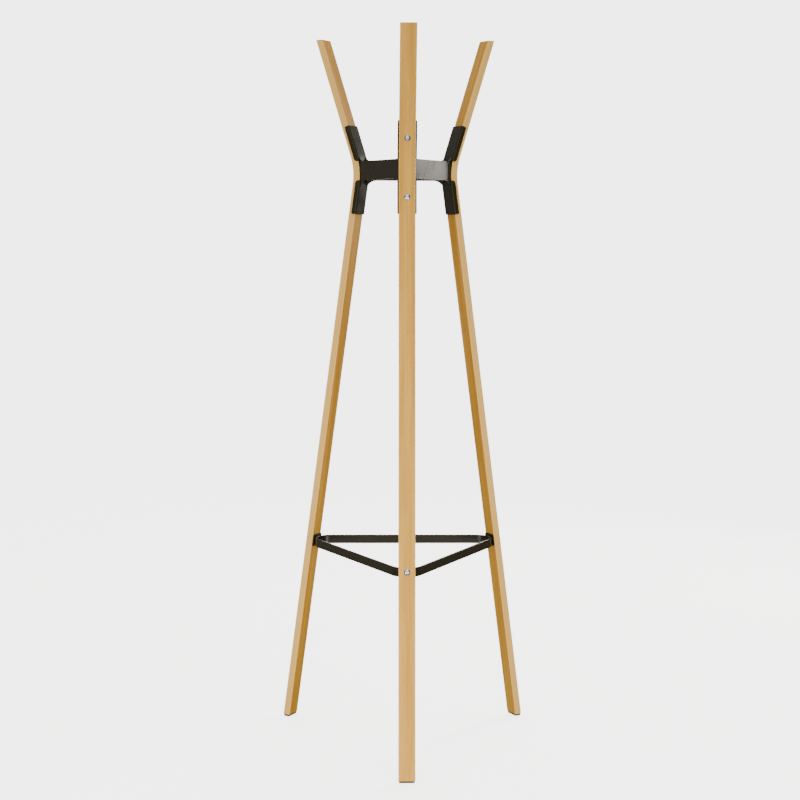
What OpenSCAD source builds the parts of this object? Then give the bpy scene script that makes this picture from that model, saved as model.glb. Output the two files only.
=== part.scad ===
// Standing coat rack: three bent timber legs held by a folded steel hub near the top
// and a bent steel ring low down. Every leg is the same piece, turned by 120 degrees.
// Units are millimetres, +Z is up, the floor is Z = 0 and the front leg points to -Y.
// The origin is the middle of the overall footprint on the floor.

/* [Overall] */
// Height of the leg tips above the floor
height = 1700; // [1640:5:1760]
// Distance from the rack's axis to the leg centreline at the floor
foot_radius = 334.5; // [320:0.5:345]
// Distance from the rack's axis to the leg centreline at the knee, before rounding
knee_radius = 122; // [119:0.5:126]
// Height of the knee above the floor
knee_height = 1388; // [1370:1:1400]
// Distance from the rack's axis to the leg centreline at the tip
tip_radius = 230; // [220:1:240]

/* [Legs] */
// Leg width, measured around the rack
leg_width = 38.5; // [37:0.5:40]
// Leg thickness, measured towards the axis
leg_depth = 18.5; // [18:0.5:20]
// Bend radius of the leg centreline at the knee
knee_bend = 150; // [140:1:158]

/* [Feet] */
// Thickness of the pads under the feet
pad_thickness = 4.5; // [3:0.5:6]
// Margin between the edge of the foot and the edge of its pad
pad_margin = 1; // [0.5:0.25:2]

/* [Hub] */
// Thickness of the hub's sheet steel
sheet = 3; // [2.5:0.25:3.5]
// How far a bracket runs above and below the knee, along the leg
bracket_reach = 107; // [100:1:112]
// Depth of the side flanges over the wood
flange_cover = 9; // [7:0.5:11]
// Free play between wood and flange, each side
flange_play = 0.25; // [0.1:0.05:0.5]
// Height of the link plates between the brackets
link_height = 45.5; // [42:0.5:48]
// Height of the link plates' middle, below the knee
link_drop = 3.5; // [2:0.5:5]
// Radius of the flared corners where a link plate meets a bracket
link_fillet = 26; // [20:0.5:27]
// Radius of the flange corners beside the link plates
flange_corner = 7; // [5:0.5:8]
// Distance from the knee to the hub bolts, along the leg
bolt_reach = 71; // [66:0.5:76]

/* [Ring] */
// Height of the ring bar's middle above the floor
ring_height = 464.5; // [440:0.5:490]
// Height of the ring's flat bar
ring_bar_height = 22; // [20:0.5:24]
// Thickness of the ring's flat bar
ring_bar_thickness = 4; // [3:0.5:5]
// Outer radius of the ring's three corners
ring_corner = 39; // [30:0.5:45]
// Width of the plates that seat the ring on the legs
seat_width = 35; // [30:0.5:36]
// Length of the seat plates along the leg
seat_length = 30; // [28:0.5:34]
// Height of the ring bolts above the middle of the bar
ring_bolt_lift = 4; // [2:0.5:6]

/* [Bolts] */
// Shank diameter of the bolts
bolt_diameter = 8; // [7.8:0.1:8.2]
// Shank length of the bolts
bolt_length = 20; // [18:0.5:20]
// Diameter of the domed heads
head_diameter = 15; // [14:0.5:16]
// Height of the domed heads
head_height = 4.4; // [4:0.1:5]

/* [Hidden] */
$fn = 96;

// compass angles of the three legs
front = 270;
right = 30;
left = 150;

// lean of the leg below and above the knee
lean_low = atan((foot_radius - knee_radius) / knee_height);
lean_up = atan((tip_radius - knee_radius) / (height - knee_height));
// directions in the leg's own plane, as [radius, height]
knee = [knee_radius, knee_height];
down = [sin(lean_low), -cos(lean_low)];
up = [sin(lean_up), cos(lean_up)];
out_low = [cos(lean_low), sin(lean_low)];
out_up = [cos(lean_up), -sin(lean_up)];
// where the knee's bend starts and ends, and its centre on the outer side
bend_run = knee_bend * tan((lean_low + lean_up) / 2);
bend_low = knee + bend_run * down;
bend_up = knee + bend_run * up;
bend_centre = bend_low + knee_bend * out_low;
half_depth = leg_depth / 2;
half_width = leg_width / 2;

// the rack's axis stands behind the middle of the footprint
foot_face = foot_radius - pad_thickness * tan(lean_low) + half_depth / cos(lean_low);
axis_shift = (foot_face - foot_face * sin(30) - half_width * cos(30)) / 2;

// each arc stands out of its straights by "swell" and runs on past them by "bend_lap"
// degrees, so that their surfaces cross and never graze each other
swell = 0.02;
bend_lap = 2;

// hub: the link plates meet the brackets' inner faces at the edges of the legs
web_play = 0.05;
web_face = -half_depth - web_play - sheet;
web_back = -half_depth - web_play;
web_radius = bend_centre[0] - (knee_bend - web_face);
link_side = web_radius * cos(60) + half_width * sin(60);
link_half = web_radius * sin(60) - half_width * cos(60);
link_middle = knee_height - link_drop;
link_top = link_middle + link_height / 2;
link_bottom = link_middle - link_height / 2;
flange_side = half_width + flange_play;
// depth to which a plate's flare runs into the web, so that it ends on both its faces
flare_sink = 2.1;

// bolts: clearance hole in the wood and a counterbore for the press nut
hole_radius = bolt_diameter / 2 + 0.25;
nut_bore = bolt_diameter / 2 + 0.1;
nut_shank = 5.2;
nut_body = 6.35;
nut_depth = 5.5;
nut_cap = 1;
sheet_hole = nut_shank + 0.05;
pocket_radius = nut_body + 0.35;
pocket_depth = nut_depth + 0.5;
socket_flats = 5;
socket_depth = 2.6;
head_rim = 0.8;

// ring: its corners touch the seat plates at the bar's top edge
ring_top = ring_height + ring_bar_height / 2;
ring_apex = low_line(web_face, ring_top)[0] - 0.05;
ring_side = (ring_apex - ring_corner) / 2 + ring_corner;
seat_corner = 5;

// point on a line parallel to the centreline, "shift" outwards, at height z
function low_line(shift, z) =
  [foot_radius - z * tan(lean_low) + shift / cos(lean_low), z];
function up_line(shift, z) =
  [knee_radius + (z - knee_height) * tan(lean_up) + shift / cos(lean_up), z];
// the same inside the knee's bend
function bend_line(shift, z) =
  [bend_centre[0] - sqrt(pow(knee_bend - shift, 2) - pow(z - bend_centre[1], 2)), z];

// radius of a bracket's inner face at height z, and its lean there
function web_at(z) =
  z > bend_centre[1] + (knee_bend - web_face) * sin(lean_up) ? up_line(web_face, z)[0] :
  z < bend_centre[1] - (knee_bend - web_face) * sin(lean_low) ? low_line(web_face, z)[0] :
  bend_line(web_face, z)[0];
function web_lean(z) =
  min(z > bend_centre[1] ? lean_up : lean_low,
    asin(abs(z - bend_centre[1]) / (knee_bend - web_face)));

// strip of the leg's plane between two shifts, from points low1/low2 to up1/up2
module bent_strip(shift1, shift2, low1, low2, up1, up2) {
  polygon([low1, low2, bend_low + shift2 * out_low, bend_low + shift1 * out_low]);
  polygon([bend_up + shift1 * out_up, bend_up + shift2 * out_up, up2, up1]);
  reach = 1.3 * (knee_bend - shift1);
  from = 180 + lean_low + bend_lap;
  to = 180 - lean_up - bend_lap;
  intersection() {
    difference() {
      translate(bend_centre) circle(r = knee_bend - shift1 + swell);
      translate(bend_centre) circle(r = knee_bend - shift2 - swell);
    }
    polygon([bend_centre, bend_centre + reach * [cos(from), sin(from)],
      bend_centre + reach * [cos(to), sin(to)]]);
  }
}

// strip with ends cut square to the leg, for the brackets
module square_strip(shift1, shift2, reach)
  bent_strip(shift1, shift2,
    knee + reach * down + shift1 * out_low, knee + reach * down + shift2 * out_low,
    knee + reach * up + shift1 * out_up, knee + reach * up + shift2 * out_up);

// turns a shape of the leg's plane into a slab, "from" to "to" around the rack
module slab(from, to)
  translate([0, to, 0]) rotate([90, 0, 0]) linear_extrude(height = to - from) children();

// places children on the rack's axis, turned to one leg
module at(angle) translate([0, axis_shift, 0]) rotate([0, 0, angle]) children();

// bolt axes: +Z points out of the leg's outer face, origin on the centreline
module at_upper() {
  p = knee + bolt_reach * up;
  translate([p[0], 0, p[1]]) rotate([0, 90 + lean_up, 0]) children();
}
module at_lower() {
  p = knee + bolt_reach * down;
  translate([p[0], 0, p[1]]) rotate([0, 90 - lean_low, 0]) children();
}
module at_ring() {
  p = low_line(0, ring_height + ring_bolt_lift);
  translate([p[0], 0, p[1]]) rotate([0, 90 - lean_low, 0]) children();
}

module leg_hole() {
  translate([0, 0, -half_depth - 1]) cylinder(r = hole_radius, h = leg_depth + 2);
  translate([0, 0, -half_depth - 1]) cylinder(r = pocket_radius, h = pocket_depth + 1);
}

// one bent leg with its three bolt holes
module leg(angle)
  color([0.80, 0.63, 0.40]) at(angle) difference() {
    slab(-half_width, half_width)
      bent_strip(-half_depth, half_depth,
        low_line(-half_depth, pad_thickness), low_line(half_depth, pad_thickness),
        up_line(-half_depth, height), up_line(half_depth, height));
    at_upper() leg_hole();
    at_lower() leg_hole();
    at_ring() leg_hole();
  }

module rounded_plate(x, y, r, h)
  linear_extrude(height = h) {
    square([x, y - 2 * r], center = true);
    square([x - 2 * r, y], center = true);
    for (i = [-1, 1], j = [-1, 1]) translate([i * (x / 2 - r), j * (y / 2 - r)]) circle(r = r);
  }

// pad under the horizontal end of a leg
module foot_pad(angle)
  color([0.16, 0.15, 0.14]) at(angle)
    translate([low_line(0, pad_thickness)[0], 0, 0])
      rounded_plate(leg_depth / cos(lean_low) - 2 * pad_margin, leg_width - 2 * pad_margin,
        3, pad_thickness);

// side flange of a bracket: nothing beside the link plates, rounded corners there
module flange_shape() {
  edge = -half_depth + flange_cover;
  top_r = bend_line(edge, link_top + flange_corner)[0] - flange_corner;
  low_r = bend_line(edge, link_bottom - flange_corner)[0] - flange_corner;
  difference() {
    square_strip(web_face, edge, bracket_reach);
    translate([0, link_bottom]) square([bend_centre[0], link_height]);
    difference() {
      translate([top_r, link_top - 1]) square([3 * flange_corner, flange_corner + 1]);
      translate([top_r, link_top + flange_corner]) circle(r = flange_corner);
    }
    difference() {
      translate([low_r, link_bottom - flange_corner])
        square([3 * flange_corner, flange_corner + 1]);
      translate([low_r, link_bottom - flange_corner]) circle(r = flange_corner);
    }
  }
}

// folded bracket: web on the leg's inner face and a flange on each side
module hub_bracket(angle)
  color([0.13, 0.125, 0.11]) at(angle) difference() {
    union() {
      slab(-half_width, half_width) square_strip(web_face, web_back, bracket_reach);
      for (s = [0, 1]) mirror([0, s, 0]) {
        slab(flange_side, flange_side + sheet) flange_shape();
        slab(half_width - 1, flange_side + 1) difference() {
          square_strip(web_face, web_back, bracket_reach);
          translate([0, link_bottom]) square([bend_centre[0], link_height]);
        }
      }
    }
    at_upper() translate([0, 0, web_face - 1]) cylinder(r = sheet_hole, h = sheet + 2);
    at_lower() translate([0, 0, web_face - 1]) cylinder(r = sheet_hole, h = sheet + 2);
  }

// one flared corner of a link plate, t = 1 for the top and -1 for the bottom: an arc from
// the plate's edge round to the leaning web. "keep" draws the metal, otherwise the arc
module flare(t, keep) {
  edge = link_middle + t * link_height / 2;
  slope = atan(tan(web_lean(edge + t * 0.7 * link_fillet)) / sin(60));
  tall = link_fillet * (1 - sin(slope));
  end = link_half + (web_at(edge + t * tall) - web_radius) / sin(60);
  middle = end - link_fillet * cos(slope) + flare_sink;
  translate([0, t * link_height / 2]) scale([1, t]) {
    if (keep) translate([middle, -1]) square([end + 6 - middle, tall + 1]);
    else translate([middle, link_fillet]) circle(r = link_fillet + swell);
  }
}

// outline of a link plate, in its own plane, with flared ends
module link_outline() {
  run = 6;
  difference() {
    union() {
      translate([-link_half - run, -link_height / 2])
        square([2 * (link_half + run), link_height]);
      for (s = [0, 1], t = [-1, 1]) mirror([s, 0]) flare(t, true);
    }
    for (s = [0, 1], t = [-1, 1]) mirror([s, 0]) flare(t, false);
  }
}

// everything beyond the inner face of a bracket, used to trim the link plates
module beyond_web()
  slab(-half_width - 20, half_width + 20) square_strip(web_face, 60, bracket_reach);

// link plate across the gap whose middle is at compass angle "angle"
module hub_link(angle)
  color([0.13, 0.125, 0.11]) at(angle) difference() {
    translate([link_side - sheet, 0, link_middle]) rotate([90, 0, 90])
      linear_extrude(height = sheet) link_outline();
    rotate([0, 0, 60]) beyond_web();
    rotate([0, 0, -60]) beyond_web();
  }

// rounded triangle with flats at distance "side" from the axis
module rounded_triangle(side, r) {
  c = 2 * (side - r);
  polygon([for (a = [front, right, left], s = [-60, 60])
    c * [cos(a), sin(a)] + r * [cos(a + s), sin(a + s)]]);
  for (a = [front, right, left]) translate(c * [cos(a), sin(a)]) circle(r = r + swell);
}

// flat bar bent on edge into a rounded triangle
module ring_bar()
  color([0.13, 0.125, 0.11]) at(0)
    translate([0, 0, ring_height - ring_bar_height / 2])
      linear_extrude(height = ring_bar_height) difference() {
        rounded_triangle(ring_side, ring_corner);
        rounded_triangle(ring_side - ring_bar_thickness, ring_corner - ring_bar_thickness);
      }

// plate between a corner of the ring and the leaning face of a leg
module ring_seat(angle)
  color([0.13, 0.125, 0.11]) at(angle) at_ring() difference() {
    translate([0, 0, web_face]) rounded_plate(seat_length, seat_width, seat_corner, sheet);
    translate([0, 0, web_face - 1]) cylinder(r = sheet_hole, h = sheet + 2);
  }

// bolt with a domed head and a hexagon socket, drawn on its own axis
module bolt_body() {
  cap = head_height - head_rim;
  r = head_diameter / 2;
  ball = (r * r + cap * cap) / (2 * cap);
  color([0.62, 0.64, 0.67]) difference() {
    union() {
      translate([0, 0, half_depth - bolt_length]) cylinder(d = bolt_diameter, h = bolt_length + 1);
      intersection() {
        translate([0, 0, half_depth]) cylinder(r = r, h = head_height + 1);
        translate([0, 0, half_depth + head_height - ball]) sphere(r = ball);
      }
    }
    translate([0, 0, half_depth + head_height - socket_depth])
      cylinder(r = socket_flats / 2 / cos(30), h = socket_depth + 1, $fn = 6);
  }
}

// blind press nut: closed and flush at the sheet's inner face, its body in a pocket
module nut_body_solid()
  color([0.13, 0.125, 0.11]) difference() {
    union() {
      translate([0, 0, web_face]) cylinder(r = nut_shank, h = sheet + web_play + 1);
      translate([0, 0, -half_depth]) cylinder(r = nut_body, h = nut_depth);
    }
    translate([0, 0, web_face + nut_cap])
      cylinder(r = nut_bore, h = sheet + web_play + nut_depth);
  }

module leg_front() leg(front);
module leg_right() leg(right);
module leg_left() leg(left);
module foot_pad_front() foot_pad(front);
module foot_pad_right() foot_pad(right);
module foot_pad_left() foot_pad(left);
module hub_bracket_front() hub_bracket(front);
module hub_bracket_right() hub_bracket(right);
module hub_bracket_left() hub_bracket(left);
module hub_link_front_right() hub_link(front + 60);
module hub_link_back() hub_link(right + 60);
module hub_link_front_left() hub_link(left + 60);
module ring_seat_front() ring_seat(front);
module ring_seat_right() ring_seat(right);
module ring_seat_left() ring_seat(left);
module bolt_upper_front() at(front) at_upper() bolt_body();
module bolt_upper_right() at(right) at_upper() bolt_body();
module bolt_upper_left() at(left) at_upper() bolt_body();
module bolt_lower_front() at(front) at_lower() bolt_body();
module bolt_lower_right() at(right) at_lower() bolt_body();
module bolt_lower_left() at(left) at_lower() bolt_body();
module bolt_ring_front() at(front) at_ring() bolt_body();
module bolt_ring_right() at(right) at_ring() bolt_body();
module bolt_ring_left() at(left) at_ring() bolt_body();
module nut_upper_front() at(front) at_upper() nut_body_solid();
module nut_upper_right() at(right) at_upper() nut_body_solid();
module nut_upper_left() at(left) at_upper() nut_body_solid();
module nut_lower_front() at(front) at_lower() nut_body_solid();
module nut_lower_right() at(right) at_lower() nut_body_solid();
module nut_lower_left() at(left) at_lower() nut_body_solid();
module nut_ring_front() at(front) at_ring() nut_body_solid();
module nut_ring_right() at(right) at_ring() nut_body_solid();
module nut_ring_left() at(left) at_ring() nut_body_solid();

leg_front();
leg_right();
leg_left();
foot_pad_front();
foot_pad_right();
foot_pad_left();
hub_bracket_front();
hub_bracket_right();
hub_bracket_left();
hub_link_front_right();
hub_link_back();
hub_link_front_left();
ring_bar();
ring_seat_front();
ring_seat_right();
ring_seat_left();
bolt_upper_front();
bolt_upper_right();
bolt_upper_left();
bolt_lower_front();
bolt_lower_right();
bolt_lower_left();
bolt_ring_front();
bolt_ring_right();
bolt_ring_left();
nut_upper_front();
nut_upper_right();
nut_upper_left();
nut_lower_front();
nut_lower_right();
nut_lower_left();
nut_ring_front();
nut_ring_right();
nut_ring_left();
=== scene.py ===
# %% [markdown]
# A standing coat rack: three bent beech legs, a hub of pressed steel, a flat-bar
# ring lower down, and bolts, nuts and foot pads. The CAD model fixes every place
# and size. This script makes the pieces again with the roundings, folds and
# surfaces that the eye needs. It first loads the CAD model as the frame, and keeps
# its overall box, because nothing made here may stand outside it.

# %% Load the CAD frame
import math

import bmesh
import bpy
from mathutils import Matrix, Vector
from mathutils.geometry import delaunay_2d_cdt


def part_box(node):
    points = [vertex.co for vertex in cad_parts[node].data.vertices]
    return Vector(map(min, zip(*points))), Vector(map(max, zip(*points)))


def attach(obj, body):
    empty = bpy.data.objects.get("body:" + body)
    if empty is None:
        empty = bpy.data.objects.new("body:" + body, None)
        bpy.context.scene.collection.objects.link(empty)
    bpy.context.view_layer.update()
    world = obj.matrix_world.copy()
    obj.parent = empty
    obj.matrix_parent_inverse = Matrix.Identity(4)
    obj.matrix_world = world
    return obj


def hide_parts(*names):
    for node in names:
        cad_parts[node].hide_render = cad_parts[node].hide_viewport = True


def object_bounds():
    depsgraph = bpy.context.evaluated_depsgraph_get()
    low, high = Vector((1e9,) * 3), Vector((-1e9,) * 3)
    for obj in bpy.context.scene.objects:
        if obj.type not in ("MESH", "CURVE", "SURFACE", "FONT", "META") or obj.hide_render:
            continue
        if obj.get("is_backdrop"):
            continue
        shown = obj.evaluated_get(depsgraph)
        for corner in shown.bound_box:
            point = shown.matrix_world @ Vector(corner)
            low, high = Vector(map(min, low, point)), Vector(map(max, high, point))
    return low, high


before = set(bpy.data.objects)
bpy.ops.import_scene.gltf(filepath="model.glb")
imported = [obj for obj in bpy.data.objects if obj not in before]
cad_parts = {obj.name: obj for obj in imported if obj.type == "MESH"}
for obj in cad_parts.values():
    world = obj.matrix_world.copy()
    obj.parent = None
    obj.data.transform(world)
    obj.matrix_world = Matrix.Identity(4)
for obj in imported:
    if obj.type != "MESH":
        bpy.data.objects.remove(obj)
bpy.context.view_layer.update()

print("CAD nodes:", len(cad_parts))

# %% [markdown]
# The camera comes first, because everything is judged through it. It stands about
# three and three quarter metres in front, a little to the left, at chest height,
# and looks slightly down. A long lens keeps the legs from spreading at the edges.

# %% Place the camera
EYE = Vector((-0.0842, -3.6990, 1.2519))
HEADING, PITCH, ROLL = -0.0191, -0.1101, 0.0034  # radians
camera = bpy.data.objects.new("camera", bpy.data.cameras.new("camera"))
bpy.context.scene.collection.objects.link(camera)
camera.data.sensor_width = 36.0
camera.data.lens = 70.69
camera.data.clip_end = 100.0
camera.matrix_world = (
    Matrix.Translation(EYE)
    @ Matrix.Rotation(HEADING, 4, "Z")
    @ Matrix.Rotation(math.pi / 2 + PITCH, 4, "X")
    @ Matrix.Rotation(ROLL, 4, "Z")
)
bpy.context.scene.camera = camera
print("camera height:", round(camera.matrix_world.translation.z, 3), "m")

# %% [markdown]
# A leg is straight, bent once at the knee, and straight again. Nearly every piece
# sits on a leg, so the most useful tool is a map: from how far along the leg a
# point is, how far out of its middle, and how far across, to a place on the rack.
# Lengths are in millimetres here, as on a workshop drawing.

# %% Describe the line of a leg
MM = 0.001
HEIGHT, FOOT_RADIUS, KNEE_RADIUS, KNEE_HEIGHT, TIP_RADIUS = 1700, 334.5, 122, 1388, 230
HALF_WIDTH, HALF_DEPTH, KNEE_BEND, PAD = 19.25, 9.25, 150, 4.5
LEGS = {"front": 270, "right": 30, "left": 150}  # compass angles in degrees
LEAN_LOW = math.atan((FOOT_RADIUS - KNEE_RADIUS) / KNEE_HEIGHT)
LEAN_UP = math.atan((TIP_RADIUS - KNEE_RADIUS) / (HEIGHT - KNEE_HEIGHT))
BEND_LENGTH = KNEE_BEND * (LEAN_LOW + LEAN_UP)
BEND_RUN = KNEE_BEND * math.tan((LEAN_LOW + LEAN_UP) / 2)

knee = Vector((KNEE_RADIUS, KNEE_HEIGHT))
up_low = Vector((-math.sin(LEAN_LOW), math.cos(LEAN_LOW)))
up_high = Vector((math.sin(LEAN_UP), math.cos(LEAN_UP)))
out_low = Vector((math.cos(LEAN_LOW), math.sin(LEAN_LOW)))
out_high = Vector((math.cos(LEAN_UP), -math.sin(LEAN_UP)))
bend_low = knee - BEND_RUN * up_low
bend_high = knee + BEND_RUN * up_high
bend_centre = bend_low + KNEE_BEND * out_low

foot_face = FOOT_RADIUS - PAD * math.tan(LEAN_LOW) + HALF_DEPTH / math.cos(LEAN_LOW)
AXIS_Y = (foot_face / 2 - HALF_WIDTH * math.cos(math.radians(30))) / 2
print("leans:", round(math.degrees(LEAN_LOW), 2), round(math.degrees(LEAN_UP), 2))
print("rack axis at y =", round(AXIS_Y, 3), "mm")

# %% [markdown]
# The map and its way back. `leg_point` follows the leg: zero is where the knee's
# bend begins, and inside the bend a step along turns about the bend's centre.
# `unbend` straightens the leg again, which later tells the wood grain how to run.

# %% Map along the leg, and back
def leg_point(along, out):
    """(radius, height) of a point so far along the centreline and out of it."""
    if along <= 0:
        return bend_low + along * up_low + out * out_low
    if along >= BEND_LENGTH:
        return bend_high + (along - BEND_LENGTH) * up_high + out * out_high
    turn = LEAN_LOW - along / KNEE_BEND
    return bend_centre - (KNEE_BEND - out) * Vector((math.cos(turn), math.sin(turn)))


def unbend(radius, height):
    """(along, out) of a point in the plane of a leg."""
    point = Vector((radius, height))
    turn = math.atan2(bend_centre.y - height, bend_centre.x - radius)
    if turn >= LEAN_LOW:
        offset = point - bend_low
        return offset.dot(up_low), offset.dot(out_low)
    if turn <= -LEAN_UP:
        offset = point - bend_high
        return BEND_LENGTH + offset.dot(up_high), offset.dot(out_high)
    return (LEAN_LOW - turn) * KNEE_BEND, KNEE_BEND - (point - bend_centre).length


def along_at(height, out):
    """How far along the leg the line at this offset reaches this height."""
    low, high = -1500.0, 600.0
    for _ in range(60):
        middle = (low + high) / 2
        low, high = (middle, high) if leg_point(middle, out).y < height else (low, middle)
    return (low + high) / 2


def radius_at(height, out):
    """Distance from the rack's axis to the leg, at this height and offset."""
    return leg_point(along_at(height, out), out).x


trial = unbend(*leg_point(40.0, -5.0))
print("map and way back agree:", [round(v, 6) for v in trial])

# %% [markdown]
# The three legs are alike, and stand 120 degrees apart about the rack's axis. So a
# piece is worked out once in the plane of a leg, and then turned to each leg's own
# compass angle. Here the millimetres become Blender's metres.

# %% Turn a leg's plane to its place
def on_rack(angle, radius, across, height):
    """A place on the rack in metres, from a leg's own radius, side and height."""
    c, s = math.cos(math.radians(angle)), math.sin(math.radians(angle))
    return Vector((radius * c - across * s, radius * s + across * c + AXIS_Y, height)) * MM


def on_leg(angle, along, out, across):
    """A place on the rack in metres, from a place on one of its legs."""
    radius, height = leg_point(along, out)
    return on_rack(angle, radius, across, height)


for side, angle in LEGS.items():
    print(side, "knee at", [round(v, 3) for v in on_leg(angle, BEND_LENGTH / 2, 0, 0)], "m")

# %% [markdown]
# Three small makers serve all pieces. One skins a row of rings into a closed tube,
# one turns a flat outline into a plate, and one settles the finished mesh: its
# normals face outwards, its flats shade flat, and its roundings shade round.

# %% Make meshes
def rounded_box(half_x, half_y, radius, steps=4):
    """Corner-rounded rectangle as (x, y) points, anticlockwise."""
    points = []
    for quarter, (sx, sy) in enumerate(((1, 1), (-1, 1), (-1, -1), (1, -1))):
        for i in range(steps + 1):
            a = math.pi / 2 * (quarter + i / steps)
            points.append(
                (sx * (half_x - radius) + radius * math.cos(a),
                 sy * (half_y - radius) + radius * math.sin(a))
            )
    return points


def skin(rings, closed=False):
    """Mesh of quads through rings of equal length, capped unless closed on itself."""
    bm = bmesh.new()
    rows = [[bm.verts.new(p) for p in ring] for ring in rings]
    count = len(rows[0])
    for a, b in zip(rows, rows[1:] + rows[:1] if closed else rows[1:]):
        for i in range(count):
            j = (i + 1) % count
            bm.faces.new((a[i], a[j], b[j], b[i]))
    if not closed:
        bm.faces.new(rows[0][::-1])
        bm.faces.new(rows[-1])
    return bm


def plate(front, back):
    """Solid between two outlines with the same number of points."""
    bm = bmesh.new()
    a, b = [bm.verts.new(p) for p in front], [bm.verts.new(p) for p in back]
    bm.faces.new(a)
    bm.faces.new(b[::-1])
    for i in range(len(a)):
        j = (i + 1) % len(a)
        bm.faces.new((a[i], b[i], b[j], a[j]))
    return bm


def settle(bm, name, crease=40):
    """Turns a bmesh into a named piece with clean normals."""
    bmesh.ops.recalc_face_normals(bm, faces=bm.faces)
    open_edges = sum(1 for e in bm.edges if not e.is_manifold)
    assert open_edges == 0, f"{name} is open at {open_edges} edges"
    mesh = bpy.data.meshes.new(name)
    bm.to_mesh(mesh)
    bm.free()
    mesh.shade_smooth()
    mesh.set_sharp_from_angle(angle=math.radians(crease))
    piece = bpy.data.objects.new(name, mesh)
    bpy.context.scene.collection.objects.link(piece)
    return piece


print("section points:", len(rounded_box(HALF_DEPTH, HALF_WIDTH, 2.4)))

# %% [markdown]
# Holes are cut as a drill cuts them: a solid the shape of the drill is taken away,
# and the drill is thrown away. The result is checked, so that each hole leaves a
# closed piece.

# %% Drill a piece
MERGE = 1e-7  # metres: corners closer than this become one


def drill(piece, tools, crease=40):
    """Takes each tool away from the piece, then removes the tools."""
    for tool in tools:
        cut = piece.modifiers.new("cut", "BOOLEAN")
        cut.object, cut.operation, cut.solver = tool, "DIFFERENCE", "EXACT"
    bpy.context.view_layer.update()
    evaluated = piece.evaluated_get(bpy.context.evaluated_depsgraph_get())
    mesh = bpy.data.meshes.new_from_object(evaluated)
    piece.modifiers.clear()
    old, piece.data = piece.data, mesh
    bpy.data.meshes.remove(old)
    mesh.name = piece.name
    bm = bmesh.new()
    bm.from_mesh(mesh)
    bmesh.ops.remove_doubles(bm, verts=bm.verts, dist=MERGE)
    assert all(e.is_manifold for e in bm.edges), f"{piece.name} lost its closed skin"
    bm.to_mesh(mesh)
    bm.free()
    mesh.shade_smooth()
    mesh.set_sharp_from_angle(angle=math.radians(crease))
    for tool in tools:
        data = tool.data
        bpy.data.objects.remove(tool)
        bpy.data.meshes.remove(data)


print("corners merge below", MERGE / MM, "mm")

# %% [markdown]
# `dress` gives a piece its finish, hides the CAD node that it stands for, and lets it
# ride on the rack. Sheet steel also gets its sharp corners rounded, because paint
# never lies on a knife edge. Weighted normals keep the broad flats flat beside
# those roundings, so that highlights run straight.

# %% Dress a piece
SHARPER_THAN = math.radians(50)  # only corners sharper than this are rounded


def dress(piece, node, material, rounding=0.0):
    """Gives a piece its edges and finish, hides its CAD node, and hangs it on the body."""
    if rounding:
        soften = piece.modifiers.new("soft edges", "BEVEL")
        soften.width, soften.segments = rounding * MM, 2
        soften.limit_method, soften.angle_limit = "ANGLE", SHARPER_THAN
    weigh = piece.modifiers.new("flat flats", "WEIGHTED_NORMAL")
    weigh.keep_sharp = True
    piece.data.materials.clear()
    piece.data.materials.append(material)
    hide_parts(node)
    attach(piece, "root")
    return piece


# %% [markdown]
# Colours are written as sRGB hex, as a paint chart gives them, and turned to the
# linear values that light needs. One function adds every shader node: it sets the
# node's options, and either links or fills each of its sockets.

# %% Colour and shader helpers
def linear(code):
    """sRGB hex to linear RGBA."""
    parts = [int(code[i:i + 2], 16) / 255 for i in (1, 3, 5)]
    return [c / 12.92 if c <= 0.04045 else ((c + 0.055) / 1.055) ** 2.4 for c in parts] + [1]


def new_material(name):
    """An empty material with its shader, and the tree to build in."""
    material = bpy.data.materials.new(name)
    material.use_nodes = True
    tree = material.node_tree
    return material, tree, tree.nodes["Principled BSDF"]


def add(tree, kind, sockets, **options):
    """Adds a shader node, sets its options, and links or fills its sockets."""
    node = tree.nodes.new("ShaderNode" + kind)
    for name, value in options.items():
        setattr(node, name, value)
    for socket, value in sockets.items():
        if isinstance(value, bpy.types.NodeSocket):
            tree.links.new(value, node.inputs[socket])
        else:
            node.inputs[socket].default_value = value
    return node


print("mid grey, linear:", [round(v, 3) for v in linear("#808080")])

# %% [markdown]
# Beech, planed and finished with a clear matt lacquer. It is a warm straw colour
# with almost straight, quiet grain. To the eye it gives three things: slow warm and
# pale bands along the leg, fine streaks a few millimetres wide, and short dark
# flecks. Real flecks are about 0.2 by 2 mm, too fine to show from here, so they are
# drawn about five times as coarse. Each pattern is noise, stretched along the
# grain. The grain is a vector stored on the mesh, which runs along the leg and
# turns with the knee, as it does in bent wood.

# %% Draw the beech's grain
beech, tree, shader = new_material("lacquered_beech")
grain = add(tree, "Attribute", {}, attribute_name="grain").outputs["Vector"]
# one turn of noise every 16 mm across and 400 mm along: bands in the board
band_place = add(tree, "VectorMath", {0: grain, 1: (62, 62, 2.5)}, operation="MULTIPLY")
bands = add(tree, "TexNoise", {"Vector": band_place.outputs[0], "Scale": 1.0, "Detail": 2.0})
# streaks 2.2 mm wide and 140 mm long: early and late wood
streak_place = add(tree, "VectorMath", {0: grain, 1: (450, 450, 7)}, operation="MULTIPLY")
streaks = add(
    tree, "TexNoise",
    {"Vector": streak_place.outputs[0], "Scale": 1.0, "Detail": 4.0, "Roughness": 0.6},
)
# flecks 1 mm wide and 10 mm long
fleck_place = add(tree, "VectorMath", {0: grain, 1: (1000, 1000, 100)}, operation="MULTIPLY")
flecks = add(tree, "TexNoise", {"Vector": fleck_place.outputs[0], "Scale": 1.0, "Detail": 1.0})
print("grain patterns:", sum(node.type == "TEX_NOISE" for node in tree.nodes))
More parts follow.
